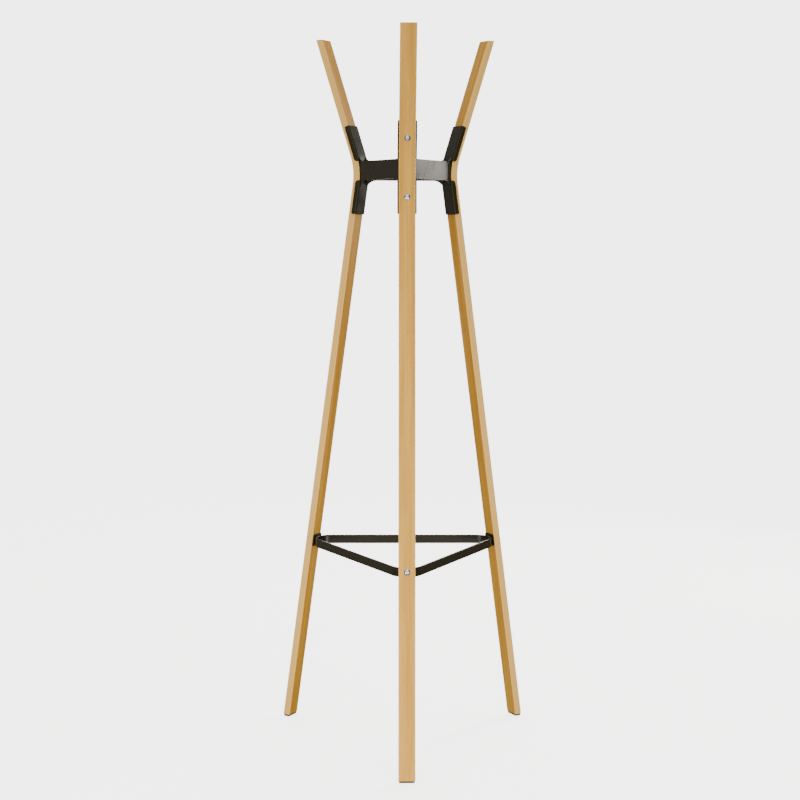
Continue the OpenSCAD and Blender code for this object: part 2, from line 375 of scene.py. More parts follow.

# %% [markdown]
# The patterns now colour the wood, one over another. Each is first cut to the range
# in which it shows: the bands run between two straw tones, the streaks darken up to
# 45 % and the few flecks up to 30 %. Last come two marks of painted light that
# belong to the leg and not to the board: the rounded edges are painted a little
# paler, a painted highlight, and the narrow sides are painted paler, as painted light
# for the stronger light that falls on them.

# %% Colour the beech
band_range = add(tree, "MapRange", {"Value": bands.outputs["Fac"], "From Min": 0.3, "From Max": 0.7})
ground = add(
    tree, "Mix",
    {"Factor": band_range.outputs[0], 6: linear("#b8811c"), 7: linear("#d29f3c")},
    data_type="RGBA",
)
streak_share = add(
    tree, "MapRange",
    {"Value": streaks.outputs["Fac"], "From Min": 0.32, "From Max": 0.68, "To Max": 0.45},
)
streaked = add(
    tree, "Mix",
    {"Factor": streak_share.outputs[0], 6: ground.outputs[2], 7: linear("#9c6816")},
    data_type="RGBA",
)
fleck_share = add(
    tree, "MapRange",
    {"Value": flecks.outputs["Fac"], "From Min": 0.60, "From Max": 0.74, "To Max": 0.30},
)
flecked = add(
    tree, "Mix",
    {"Factor": fleck_share.outputs[0], 6: streaked.outputs[2], 7: linear("#653c12")},
    data_type="RGBA",
)
# painted highlight: the rounded edges are painted a little paler, for the light that their roundings
# catch
edge = add(tree, "Attribute", {}, attribute_name="edge").outputs["Fac"]
edge_highlight_share = add(tree, "Math", {0: edge, 1: 0.30}, operation="MULTIPLY")
edge_highlit_colour = add(
    tree, "Mix",
    {"Factor": edge_highlight_share.outputs[0], 6: flecked.outputs[2], 7: linear("#dcae58")},
    data_type="RGBA",
)
# painted light: the narrow sides are painted paler, for the stronger light that falls on them
painted_side_light = add(tree, "Attribute", {}, attribute_name="painted_side_light").outputs["Fac"]
painted_side_light_share = add(tree, "Math", {0: painted_side_light, 1: 0.55}, operation="MULTIPLY")
side_lit_colour = add(
    tree, "Mix",
    {"Factor": painted_side_light_share.outputs[0], 6: edge_highlit_colour.outputs[2], 7: linear("#f0c270")},
    data_type="RGBA",
)
tree.links.new(side_lit_colour.outputs[2], shader.inputs["Base Color"])
print("colour layers:", sum(node.type == "MIX" for node in tree.nodes))

# %% [markdown]
# Matt lacquer sinks into wood, so the soft early wood shines less than the late
# wood, and the streaks stand out by a few hundredths of a millimetre. A thin, dull
# coat over it gives the faint veil that is seen at a slant.

# %% Lacquer the beech
rough = add(
    tree, "MapRange",
    {"Value": streaks.outputs["Fac"], "To Min": 0.40, "To Max": 0.56},
)
relief = add(
    tree, "Bump",
    {"Height": streaks.outputs["Fac"], "Strength": 0.25, "Distance": 0.00025},
)
tree.links.new(rough.outputs[0], shader.inputs["Roughness"])
tree.links.new(relief.outputs[0], shader.inputs["Normal"])
shader.inputs["IOR"].default_value = 1.5
shader.inputs["Specular IOR Level"].default_value = 0.25  # the grain breaks up the shine
shader.inputs["Coat Weight"].default_value = 0.05
shader.inputs["Coat Roughness"].default_value = 0.35
print("beech nodes:", len(tree.nodes))

# %% [markdown]
# The hub and ring are pressed steel with a satin polyester powder coat, nearly
# black with a bronze cast. Powder melts into a skin with a faint orange peel about
# a millimetre across, so highlights are soft and slightly uneven. Handling polishes
# it in soft patches a few centimetres wide, which the clouds of gloss stand for.

# %% Mix the powder coat
steel, tree, shader = new_material("powder_coated_steel")
place = add(tree, "TexCoord", {}).outputs["Object"]
# real peel is 1 mm across, too fine to show from here, so it is drawn 5 mm across
peel = add(tree, "TexNoise", {"Vector": place, "Scale": 200.0, "Detail": 1.0})
cloud = add(tree, "TexNoise", {"Vector": place, "Scale": 28.0, "Detail": 3.0})
coat = add(
    tree, "Mix",
    {"Factor": cloud.outputs["Fac"], 6: linear("#211d10"), 7: linear("#282315")},
    data_type="RGBA",
)
rough = add(
    tree, "MapRange",
    {"Value": cloud.outputs["Fac"], "From Min": 0.3, "From Max": 0.7,
     "To Min": 0.26, "To Max": 0.34},
)
relief = add(
    tree, "Bump",
    {"Height": peel.outputs["Fac"], "Strength": 0.05, "Distance": 0.0001},
)
tree.links.new(coat.outputs[2], shader.inputs["Base Color"])
tree.links.new(rough.outputs[0], shader.inputs["Roughness"])
tree.links.new(relief.outputs[0], shader.inputs["Normal"])
shader.inputs["IOR"].default_value = 1.5
shader.inputs["Specular IOR Level"].default_value = 0.16
print("powder coat nodes:", len(tree.nodes))

# %% [markdown]
# The bolts are steel with a bright zinc plate: a real metal, so it has no colour
# but its reflection, slightly blue. Plating crystals and tumbling leave it uneven
# over a fraction of a millimetre, which breaks the highlight up.

# %% Mix the zinc
zinc, tree, shader = new_material("bright_zinc_plate")
place = add(tree, "TexCoord", {}).outputs["Object"]
spangle = add(tree, "TexNoise", {"Vector": place, "Scale": 1400.0, "Detail": 3.0})
stain = add(tree, "TexNoise", {"Vector": place, "Scale": 220.0, "Detail": 2.0})
plated = add(
    tree, "Mix",
    {"Factor": stain.outputs["Fac"], 6: linear("#a3acb6"), 7: linear("#c9d0d6")},
    data_type="RGBA",
)
rough = add(
    tree, "MapRange",
    {"Value": spangle.outputs["Fac"], "To Min": 0.20, "To Max": 0.38},
)
relief = add(
    tree, "Bump",
    {"Height": spangle.outputs["Fac"], "Strength": 0.15, "Distance": 0.00005},
)
tree.links.new(plated.outputs[2], shader.inputs["Base Color"])
tree.links.new(rough.outputs[0], shader.inputs["Roughness"])
tree.links.new(relief.outputs[0], shader.inputs["Normal"])
shader.inputs["Metallic"].default_value = 1.0
print("zinc nodes:", len(tree.nodes))

# %% [markdown]
# The foot pads are moulded rubber, dark and quite dull. Its surface has a fine
# grain from the mould, and dust from the floor makes it patchy and a little paler.

# %% Mix the rubber
rubber, tree, shader = new_material("moulded_rubber")
place = add(tree, "TexCoord", {}).outputs["Object"]
mould = add(tree, "TexNoise", {"Vector": place, "Scale": 1600.0, "Detail": 2.0})
dust = add(tree, "TexNoise", {"Vector": place, "Scale": 130.0, "Detail": 3.0})
dusty = add(
    tree, "Mix",
    {"Factor": dust.outputs["Fac"], 6: linear("#2a2522"), 7: linear("#4a423c")},
    data_type="RGBA",
)
rough = add(tree, "MapRange", {"Value": dust.outputs["Fac"], "To Min": 0.72, "To Max": 0.92})
relief = add(
    tree, "Bump",
    {"Height": mould.outputs["Fac"], "Strength": 0.3, "Distance": 0.0001},
)
tree.links.new(dusty.outputs[2], shader.inputs["Base Color"])
tree.links.new(rough.outputs[0], shader.inputs["Roughness"])
tree.links.new(relief.outputs[0], shader.inputs["Normal"])
print("rubber nodes:", len(tree.nodes))

# %% [markdown]
# Each leg is one piece of timber, bent at the knee and cut level at both ends. The
# long edges are rounded over and the ends are just broken with sandpaper. It is
# made as a joiner sees it: one rounded section, carried along the leg's line, and
# at the ends pushed along until it meets the level cut.

# %% Shape the legs
EDGE_RADIUS, END_RADIUS = 2.4, 1.2
END_ZONE = 12  # height at each end in which the section gives way to the level cut


def level_ring(angle, height, inset):
    """The section where the leg is cut level, drawn in by inset."""
    return [
        on_leg(angle, along_at(height, x), x, y)
        for x, y in rounded_box(HALF_DEPTH - inset, HALF_WIDTH - inset, EDGE_RADIUS - inset)
    ]


def leg_rings(angle):
    """All the rings of one leg, from foot to tip."""
    section = rounded_box(HALF_DEPTH, HALF_WIDTH, EDGE_RADIUS)
    ends = [(END_RADIUS * (1 - math.cos(a)), END_RADIUS * (1 - math.sin(a)))
            for a in (math.radians(t) for t in (90, 60, 30, 0))]
    rings = [level_ring(angle, PAD + rise, inset) for inset, rise in ends]
    start, stop = along_at(PAD + END_ZONE, 0), along_at(HEIGHT - END_ZONE, 0)
    straight_low = [start * (1 - i / 8) for i in range(8)]
    bend = [BEND_LENGTH * i / 20 for i in range(21)]
    straight_up = [BEND_LENGTH + (stop - BEND_LENGTH) * i / 3 for i in range(1, 4)]
    for along in straight_low + bend + straight_up:
        rings.append([on_leg(angle, along, x, y) for x, y in section])
    return rings + [level_ring(angle, HEIGHT - rise, inset) for inset, rise in ends[::-1]]


legs = {side: settle(skin(leg_rings(angle)), "beech_leg_" + side) for side, angle in LEGS.items()}
print("leg corners in the mesh:", {s: len(o.data.vertices) for s, o in legs.items()})

# %% [markdown]
# Every leg has three bolts: two in the hub bracket and one in the ring seat. Each
# needs a clearance hole, and on the inner face a wider pocket for the press nut.
# `turned` makes anything a lathe can make, on a bolt's own axis, from a profile of
# radius and distance out of the leg's middle. Here it makes the drills.

# %% Drill the legs
BOLT_REACH, RING_HEIGHT, RING_BOLT_LIFT = 71, 464.5, 4
BOLTS = {
    "upper": BEND_LENGTH + BOLT_REACH - BEND_RUN,
    "lower": BEND_RUN - BOLT_REACH,
    "ring": along_at(RING_HEIGHT + RING_BOLT_LIFT, 0),
}
SHEET, WEB_PLAY = 3.0, 0.05
WEB_BACK = -HALF_DEPTH - WEB_PLAY
WEB_FACE = WEB_BACK - SHEET


def on_bolt(angle, along, out, x, y):
    """A place beside a bolt's axis: x up the leg, y across it, out along the bolt."""
    middle = on_leg(angle, along, 0, 0)
    up = (on_leg(angle, along + 1, 0, 0) - middle).normalized() * MM
    outward = (on_leg(angle, along, 1, 0) - middle).normalized() * MM
    across = (on_leg(angle, along, 0, 1) - middle).normalized() * MM
    return middle + up * x + across * y + outward * out


def turned(angle, along, profile, sides=48):
    """Lathe-turned solid from (radius, out) points."""
    rings = []
    for radius, out in profile:
        steps = [2 * math.pi * i / sides for i in range(sides)]
        rings.append(
            [on_bolt(angle, along, out, radius * math.cos(a), radius * math.sin(a)) for a in steps]
        )
    return skin(rings)


HOLE, POCKET, POCKET_DEPTH = 4.25, 6.7, 6.0
leg_drill = [(POCKET, -HALF_DEPTH - 2), (POCKET, -HALF_DEPTH + POCKET_DEPTH),
             (HOLE, -HALF_DEPTH + POCKET_DEPTH), (HOLE, HALF_DEPTH + 2)]
for side, angle in LEGS.items():
    drill(legs[side], [settle(turned(angle, a, leg_drill), "drill") for a in BOLTS.values()])
print("faces in a drilled leg:", len(legs["front"].data.polygons))

# %% [markdown]
# The grain needs to know where each point of the wood lay before bending. So every
# vertex is straightened with `unbend` and keeps that place as its "grain". Each
# leg starts somewhere else in the board, so no two look alike. Points on the
# rounded edges are also marked, for their painted highlight, and so are the narrow
# sides, for the painted light that makes them paler.

# %% Lay the grain along the legs
BOARD_PLACE = {"front": Vector((0.11, 0.03, 0.4)), "right": Vector((0.53, 0.27, 3.1)),
               "left": Vector((0.87, 0.61, 5.9))}


def keep(mesh, name, kind, field, values):
    """Stores one value for each vertex under a name that the shader can read."""
    mesh.attributes.new(name, kind, "POINT")
    mesh.attributes[name].data.foreach_set(field, values)


for side, angle in LEGS.items():
    turn = Matrix.Rotation(math.radians(-angle), 3, "Z")
    grain_values, edge_highlight_values, side_light_values = [], [], []
    for vertex in legs[side].data.vertices:
        place = turn @ (vertex.co / MM - Vector((0, AXIS_Y, 0)))
        along, out = unbend(place.x, place.z)
        grain_values += list(Vector((place.y, out, along)) * MM + BOARD_PLACE[side])
        rounded = min(abs(place.y) - HALF_WIDTH + EDGE_RADIUS, abs(out) - HALF_DEPTH + EDGE_RADIUS)
        # marks the rounded edges for their painted highlight
        edge_highlight_values.append(1.0 if rounded > 0.2 else 0.0)
        # marks the narrow sides for their painted light
        side_light_values.append(min(max((abs(place.y) - HALF_WIDTH) / EDGE_RADIUS + 1, 0), 1))
    keep(legs[side].data, "grain", "FLOAT_VECTOR", "vector", grain_values)
    keep(legs[side].data, "edge", "FLOAT", "value", edge_highlight_values)
    keep(legs[side].data, "painted_side_light", "FLOAT", "value", side_light_values)
    dress(legs[side], "leg_" + side, beech)
    low, high = (Vector(corner) for corner in (legs[side].bound_box[0], legs[side].bound_box[6]))
    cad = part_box("leg_" + side)
    off = max((low - cad[0]).length, (high - cad[1]).length)
    assert off < 4 * MM, f"{side} leg has moved"
print("marked edge points:", int(sum(edge_highlight_values)), "of", len(edge_highlight_values))

# %% [markdown]
# A hub bracket is folded from one flat blank of 3 mm steel, so it is drawn that
# way. First the flat outline: a web as long as the bracket, and on each side two
# tabs that become flanges, with a gap between them where the link plates meet the
# web. The gap's ends are level on the finished rack, so they are found by height.

# %% Draw the bracket's blank
BRACKET_REACH, FLANGE_COVER, FLANGE_PLAY = 107, 9, 0.25
LINK_HEIGHT, LINK_DROP, TAB_RADIUS, END_CORNER = 45.5, 3.5, 7, 2.5
LINK_MIDDLE = KNEE_HEIGHT - LINK_DROP
LINK_TOP, LINK_BOTTOM = LINK_MIDDLE + LINK_HEIGHT / 2, LINK_MIDDLE - LINK_HEIGHT / 2
FOLD_IN = 1.0  # inner radius of a fold
FOLD_OUT = HALF_WIDTH + FLANGE_PLAY - FOLD_IN  # where the web's flat ends
FOLD_RUN = math.pi / 2 * (FOLD_IN + SHEET / 2)  # flat length that one fold takes
FLANGE_EDGE = -HALF_DEPTH + FLANGE_COVER
FLANGE_START = WEB_BACK + FOLD_IN
BLANK_HALF = FOLD_OUT + FOLD_RUN + FLANGE_EDGE - FLANGE_START
START, STOP = BEND_RUN - BRACKET_REACH, BEND_LENGTH + BRACKET_REACH - BEND_RUN


def blank_side(out):
    """Flat place, across the blank, of a flange point at this offset."""
    return FOLD_OUT + FOLD_RUN + out - FLANGE_START


def tab_end(level, sign):
    """Outline of a tab's end by the gap, from its free edge in to the web."""
    points = []
    for i in range(9):
        a = math.pi / 2 * i / 8
        out = FLANGE_EDGE - TAB_RADIUS + TAB_RADIUS * math.cos(a)
        height = level + sign * (TAB_RADIUS - TAB_RADIUS * math.sin(a))
        points.append((along_at(height, out), blank_side(out)))
    web = along_at(level, WEB_BACK)
    return points + [(web, FOLD_OUT + FOLD_RUN * 0.6), (web, HALF_WIDTH - 0.4)]


def corner(along, sign):
    """Rounded free corner of a flange at an end of the bracket."""
    steps = [math.pi / 2 * i / 5 for i in range(6)]
    return [(along + sign * (END_CORNER - END_CORNER * math.sin(a)),
             BLANK_HALF - END_CORNER + END_CORNER * math.cos(a)) for a in steps]


right_half = (
    corner(START, 1)[::-1] + tab_end(LINK_BOTTOM, -1)
    + tab_end(LINK_TOP, 1)[::-1] + corner(STOP, -1)
)
blank = right_half + [(along, -side) for along, side in right_half[::-1]]
print("blank:", round(STOP - START, 1), "by", round(2 * BLANK_HALF, 1), "mm,", len(blank), "points")

# %% [markdown]
# Then the blank is punched for its two nuts. Punching before folding keeps the holes
# clean, in the shop and here: a flat outline with round holes is easily filled with
# triangles, and the triangles that lie inside a hole are left out.

# %% Punch the blank
CLOSE = 1e-3  # mm: points of the blank closer than this become one


def circle(along, radius, sides=36):
    """A round hole in the blank, as points."""
    return [(along + radius * math.cos(2 * math.pi * i / sides),
             radius * math.sin(2 * math.pi * i / sides)) for i in range(sides)]


def punched(outline, holes):
    """The outline as flat triangles, with round (along, radius) holes left open."""
    points, edges = [], []
    for loop in [outline] + [circle(along, radius) for along, radius in holes]:
        first = len(points)
        points += [Vector(p) for p in loop]
        edges += [(first + i, first + (i + 1) % len(loop)) for i in range(len(loop))]
    places, _, triangles, *_ = delaunay_2d_cdt(points, edges, [], 1, CLOSE / 100)
    bm = bmesh.new()
    corners = [bm.verts.new((*place, 0)) for place in places]
    for triangle in triangles:
        middle = sum((places[i] for i in triangle), Vector((0, 0))) / 3
        if all((middle - Vector((along, 0))).length > radius * 0.99 for along, radius in holes):
            bm.faces.new([corners[i] for i in triangle])
    bmesh.ops.delete(bm, geom=[v for v in bm.verts if not v.link_faces], context="VERTS")
    return bm


SHEET_HOLE = 5.25
hub_holes = [(BOLTS["upper"], SHEET_HOLE), (BOLTS["lower"], SHEET_HOLE)]
trial = punched(blank, hub_holes)
print("triangles in the punched blank:", len(trial.faces))
trial.free()

# %% [markdown]
# A flat triangle can't bend, so the blank is scored with fine lines wherever it
# will: across it at the knee, and along it at both folds. The knee turns it along
# its length, and each fold turns a flange through a right angle. Both faces of the
# sheet come from the same blank, 3 mm apart, so the steel keeps one thickness
# through every bend, as real sheet does.

# %% Fold the brackets
def folded(angle, along, side, depth):
    """Where a point of the blank ends up. depth is from the wood side into the sheet."""
    sign, reach = (1 if side >= 0 else -1), abs(side)
    if reach <= FOLD_OUT:
        return on_leg(angle, along, WEB_BACK - depth, side)
    bend = min((reach - FOLD_OUT) / FOLD_RUN, 1) * math.pi / 2
    out = FLANGE_START - (FOLD_IN + depth) * math.cos(bend)
    across = FOLD_OUT + (FOLD_IN + depth) * math.sin(bend)
    past = max(reach - FOLD_OUT - FOLD_RUN, 0)
    return on_leg(angle, along, out + past, sign * across)


def score(bm):
    """Cuts the flat triangles along every line where the sheet will bend."""
    lines = [((BEND_LENGTH * i / 12, 0, 0), (1, 0, 0)) for i in range(13)]
    for sign in (1, -1):
        lines += [((0, sign * (FOLD_OUT + FOLD_RUN * i / 6), 0), (0, 1, 0)) for i in range(7)]
    for point, normal in lines:
        everything = bm.verts[:] + bm.edges[:] + bm.faces[:]
        bmesh.ops.bisect_plane(
            bm, geom=everything, dist=CLOSE / 10, plane_co=point, plane_no=normal,
        )
    bmesh.ops.remove_doubles(bm, verts=bm.verts, dist=CLOSE)


def fold(outline, holes, angle):
    """The blank, punched, scored, doubled into two faces and folded on to a leg."""
    flat = punched(outline, holes)
    score(flat)
    bm = bmesh.new()
    faces = {}
    for depth in (0, SHEET):
        faces[depth] = {
            v: bm.verts.new(folded(angle, v.co.x, v.co.y, depth)) for v in flat.verts
        }
        for f in flat.faces:
            bm.faces.new([faces[depth][v] for v in f.verts])
    for e in flat.edges:
        if e.is_boundary:
            a, b = e.verts
            bm.faces.new((faces[0][a], faces[0][b], faces[SHEET][b], faces[SHEET][a]))
    flat.free()
    return bm


for side, angle in LEGS.items():
    bracket = settle(fold(blank, hub_holes, angle), "steel_bracket_" + side)
    dress(bracket, "hub_bracket_" + side, steel, rounding=0.5)
print("faces in a bracket:", len(bracket.data.polygons))

# %% [markdown]
# The link plates stand upright between the legs and close the hub into a band.
# Each is pressed: the die draws the outer edges over into a soft quarter round,
# and the ends flare so that the corner into the leg has no sharp notch. The web
# leans away there, so each flare is an arc that runs on into the leaning web. Both
# faces are trimmed to the web on their own, because the web crosses them askew.

# %% Draw the link plates
LINK_FLARE, FLARE_SINK, FLARE_STEPS, END_STEPS = 26, 2.1, 10, 14
WEB_RADIUS = bend_centre.x - (KNEE_BEND - WEB_FACE)
SIN60 = math.sin(math.radians(60))
LINK_SIDE = WEB_RADIUS * 0.5 + HALF_WIDTH * SIN60


def link_end(height, distance):
    """How far a plate at this distance from the axis runs before it meets the web."""
    return (radius_at(height, WEB_FACE) - distance * 0.5) / SIN60


def flare(sign, distance):
    """Arc from a plate's edge up or down to the web, on the face at this distance."""
    edge = LINK_MIDDLE + sign * LINK_HEIGHT / 2
    high = edge + sign * 0.7 * LINK_FLARE  # about where the flare comes to the web
    slope = math.atan(link_end(high + sign * 0.5, LINK_SIDE)
                      - link_end(high - sign * 0.5, LINK_SIDE))
    tall = LINK_FLARE * (1 - math.sin(slope))
    middle = link_end(edge + sign * tall, LINK_SIDE) - LINK_FLARE * math.cos(slope) + FLARE_SINK

    def arc(a):
        return (middle + LINK_FLARE * math.sin(a),
                edge + sign * LINK_FLARE * (1 - math.cos(a)))

    low, full = 0.0, math.pi / 2 - slope
    for _ in range(40):  # halve down to where the arc reaches the web on this face
        half = (low + full) / 2
        along, height = arc(half)
        low, full = (half, full) if along < link_end(height, distance) else (low, half)
    return [arc(full * i / FLARE_STEPS) for i in range(FLARE_STEPS + 1)]


def link_outline(distance):
    """Right half of a plate's outline, from the bottom edge round to the top."""
    bottom, top = flare(-1, distance), flare(1, distance)
    low, high = bottom[-1][1], top[-1][1]
    levels = [low + i * (high - low) / END_STEPS for i in range(1, END_STEPS)]
    return bottom + [(link_end(level, distance), level) for level in levels] + top[::-1]


print("points in half a plate's outline:", len(link_outline(LINK_SIDE)))

# %% [markdown]
# Both faces share one row of points, so the plate closes by joining them. Then only
# the free edges are drawn over, top and bottom: a wide soft rounding on the outer
# face, as the die leaves it, and a small broken edge on the inner one. The ends
# stay square, because they are welded into the web.

# %% Press the link plates
DRAWN_EDGE, BROKEN_EDGE = 2.8, 0.5


def link_plate(angle):
    """A link plate with drawn-over outer edges."""
    loops = []
    for distance in (LINK_SIDE, LINK_SIDE - SHEET):
        half = link_outline(distance)
        loop = half + [(-y, z) for y, z in half[::-1]]
        loops.append([on_rack(angle, distance, y, z) for y, z in loop])
    count = len(loops[0]) // 2
    bm = plate(*loops)
    bm.verts.index_update()
    free = set(range(FLARE_STEPS + 1)) | set(range(count - FLARE_STEPS - 1, count))
    free |= {2 * count - 1 - i for i in free}
    rims = {}
    for e in bm.edges:
        a, b = (v.index for v in e.verts)
        face = a // (2 * count), b // (2 * count)
        a, b = a % (2 * count), b % (2 * count)
        if face[0] == face[1] and a in free and b in free:
            rims.setdefault(face[0], []).append(e)
    for face, width, steps in ((0, DRAWN_EDGE, 5), (1, BROKEN_EDGE, 2)):
        edges = [e for e in rims[face] if e.is_valid]
        bmesh.ops.bevel(bm, geom=edges, offset=width * MM, segments=steps, profile=0.5,
                        affect="EDGES", clamp_overlap=False)
    return bm


LINKS = {"front_right": 330, "back": 90, "front_left": 210}
for name, angle in LINKS.items():
    link = settle(link_plate(angle), "steel_link_" + name)
    dress(link, "hub_link_" + name, steel)
print("link plate:", round(2 * link_end(LINK_MIDDLE, LINK_SIDE), 1), "mm long at mid height")

# %% [markdown]
# The ring is flat steel bar bent on edge into a rounded triangle, and its ends are
# welded where no one looks. Its section, 22 by 4 mm with rolled edges, is carried
# round the three straights and three bends. A seat plate behind each corner leans
# with the leg, so that the upright bar has something flat to bear on.

# %% Bend the ring
RING_BAR_HEIGHT, RING_BAR, RING_CORNER, ROLLED_EDGE = 22, 4, 39, 1.5
ring_apex = radius_at(RING_HEIGHT + RING_BAR_HEIGHT / 2, WEB_FACE) - 0.05
corner_centre = ring_apex - RING_CORNER
bend_radius = RING_CORNER - RING_BAR / 2
section = rounded_box(RING_BAR / 2, RING_BAR_HEIGHT / 2, ROLLED_EDGE, steps=3)
ring_rings = []
for angle in sorted(LEGS.values()):
    for i in range(21):
        turn = math.radians(angle - 60 + 120 * i / 20)
        centre = on_rack(angle, corner_centre, 0, RING_HEIGHT)
        outward = Vector((math.cos(turn), math.sin(turn), 0))
        ring_rings.append(
            [centre + (outward * (bend_radius + x) + Vector((0, 0, y))) * MM for x, y in section]
        )
ring = settle(skin(ring_rings, closed=True), "steel_ring")
dress(ring, "ring_bar", steel)
print("ring corner at radius", round(ring_apex, 2), "mm")

# %% [markdown]
# A seat is cut from the same sheet and by the same steps as a bracket, only without
# flanges. Its corners are rounded, and one hole takes the nut.

# %% Shape the ring's seats
SEAT_LONG, SEAT_WIDE, SEAT_CORNER = 30, 35, 5
for side, angle in LEGS.items():
    outline = [(BOLTS["ring"] + x, y) for x, y in
               rounded_box(SEAT_LONG / 2, SEAT_WIDE / 2, SEAT_CORNER, steps=6)]
    seat = settle(fold(outline, [(BOLTS["ring"], SHEET_HOLE)], angle), "steel_seat_" + side)
    dress(seat, "ring_seat_" + side, steel, rounding=0.5)
print("seat plates:", SEAT_LONG, "by", SEAT_WIDE, "mm")

# %% [markdown]
# The bolts are M8 furniture bolts with a low domed head and a hexagon socket. The
# head starts at the socket as a hexagon and spreads into a circle, ring by ring,
# so that the dome stays smooth. The rim is only 0.8 mm high where it meets the wood.

# %% Turn the bolts
BOLT_RADIUS, BOLT_LENGTH, HEAD_RADIUS, HEAD_HEIGHT, HEAD_RIM = 4.0, 20, 7.5, 4.4, 0.8
SOCKET_FLATS, SOCKET_DEPTH, SIDES = 5, 2.6, 48
cap = HEAD_HEIGHT - HEAD_RIM
ball = (HEAD_RADIUS ** 2 + cap ** 2) / (2 * cap)


def dome(radius):
    """Height of the head at this distance from its middle."""
    return HEAD_HEIGHT - ball + math.sqrt(ball ** 2 - radius ** 2)


def hexagon(a):
    """Radius of the socket's outline in direction a."""
    return SOCKET_FLATS / 2 / math.cos((a + math.pi / 6) % (math.pi / 3) - math.pi / 6)


def bolt(angle, along):
    steps = [2 * math.pi * i / SIDES for i in range(SIDES)]
    rows = [[(hexagon(a), HEAD_HEIGHT - SOCKET_DEPTH) for a in steps],
            [(hexagon(a), dome(hexagon(a)) - 0.25) for a in steps],
            [(hexagon(a) + 0.25, dome(hexagon(a) + 0.25)) for a in steps]]
    for blend, radius in ((0.35, 3.6), (0.8, 4.4), (1.0, 5.4), (1.0, 6.3), (1.0, 7.0)):
        rows.append([(r, dome(r)) for r in
                     (blend * radius + (1 - blend) * (hexagon(a) + 0.6) for a in steps)])
    rows += [[(r, h)] * SIDES for r, h in (
        (HEAD_RADIUS - 0.15, dome(HEAD_RADIUS - 0.15)), (HEAD_RADIUS, HEAD_RIM - 0.2),
        (HEAD_RADIUS, 0.3), (HEAD_RADIUS - 0.25, 0.0), (BOLT_RADIUS, 0.0),
        (BOLT_RADIUS, 1.0 - BOLT_LENGTH), (BOLT_RADIUS - 0.9, -BOLT_LENGTH))]
    rings = [[on_bolt(angle, along, HALF_DEPTH + h, r * math.cos(a), r * math.sin(a))
              for (r, h), a in zip(row, steps)] for row in rows]
    return skin(rings)


for place_name, along in BOLTS.items():
    for side, angle in LEGS.items():
        piece = settle(bolt(angle, along), f"zinc_bolt_{place_name}_{side}")
        dress(piece, f"bolt_{place_name}_{side}", zinc)
print("bolts:", 3 * len(BOLTS), "of", BOLT_RADIUS * 2, "by", BOLT_LENGTH, "mm")

# %% [markdown]
# A blind press nut is squeezed into the sheet before painting, so its closed end is
# flush with the steel and takes the same coat. Its body hides in a pocket of the
# wood. A lathe could make it, so it is turned, from the bottom of its bore outwards.

# %% Turn the press nuts
NUT_SHANK, NUT_BODY, NUT_BORE, NUT_DEPTH, NUT_CAP, BREAK = 5.2, 6.35, 4.1, 5.5, 1.0, 0.3
nut_profile = [
    (NUT_BORE, WEB_FACE + NUT_CAP), (NUT_BORE, -HALF_DEPTH + NUT_DEPTH),
    (NUT_BODY - BREAK, -HALF_DEPTH + NUT_DEPTH), (NUT_BODY, -HALF_DEPTH + NUT_DEPTH - BREAK),
    (NUT_BODY, -HALF_DEPTH + BREAK), (NUT_BODY - BREAK, -HALF_DEPTH),
    (NUT_SHANK, -HALF_DEPTH), (NUT_SHANK, WEB_FACE + 0.1), (NUT_SHANK - 0.1, WEB_FACE)]
for place_name, along in BOLTS.items():
    for side, angle in LEGS.items():
        piece = settle(turned(angle, along, nut_profile), f"steel_nut_{place_name}_{side}")
        dress(piece, f"nut_{place_name}_{side}", steel)
print("press nuts:", 3 * len(BOLTS))

# %% [markdown]
# The pads keep the end grain off the floor. Each is a thin moulded block a
# millimetre smaller than the level cut all round, with a rounded lower edge that
# lets the rack slide without catching.

# %% Mould the foot pads
PAD_MARGIN, PAD_CORNER, PAD_EDGE = 1, 3, 1.0
pad_x = HALF_DEPTH / math.cos(LEAN_LOW) - PAD_MARGIN
pad_y = HALF_WIDTH - PAD_MARGIN
pad_middle = leg_point(along_at(PAD, 0), 0).x
levels = [(PAD_EDGE * (1 - math.sin(a)), PAD_EDGE * (1 - math.cos(a)))
          for a in (math.radians(t) for t in (0, 30, 60, 90))]
for side, angle in LEGS.items():
    rings = [[on_rack(angle, pad_middle + x, y, height) for x, y in
              rounded_box(pad_x - inset, pad_y - inset, PAD_CORNER - inset, steps=6)]
             for inset, height in levels + [(0, PAD - 0.2), (0.2, PAD)]]
    piece = settle(skin(rings), "rubber_pad_" + side)
    dress(piece, "foot_pad_" + side, rubber)
print("pads:", round(2 * pad_x, 1), "by", round(2 * pad_y, 1), "mm")

# %% [markdown]
# The stage is a plain pale floor that reaches far past the picture, under a pale
# even sky. Its paint is slightly mottled, like any real floor. It also glows a
# little, like the lit tables that small products are shown on, so that it comes
# out as pale as the wall behind without a strong light from above.

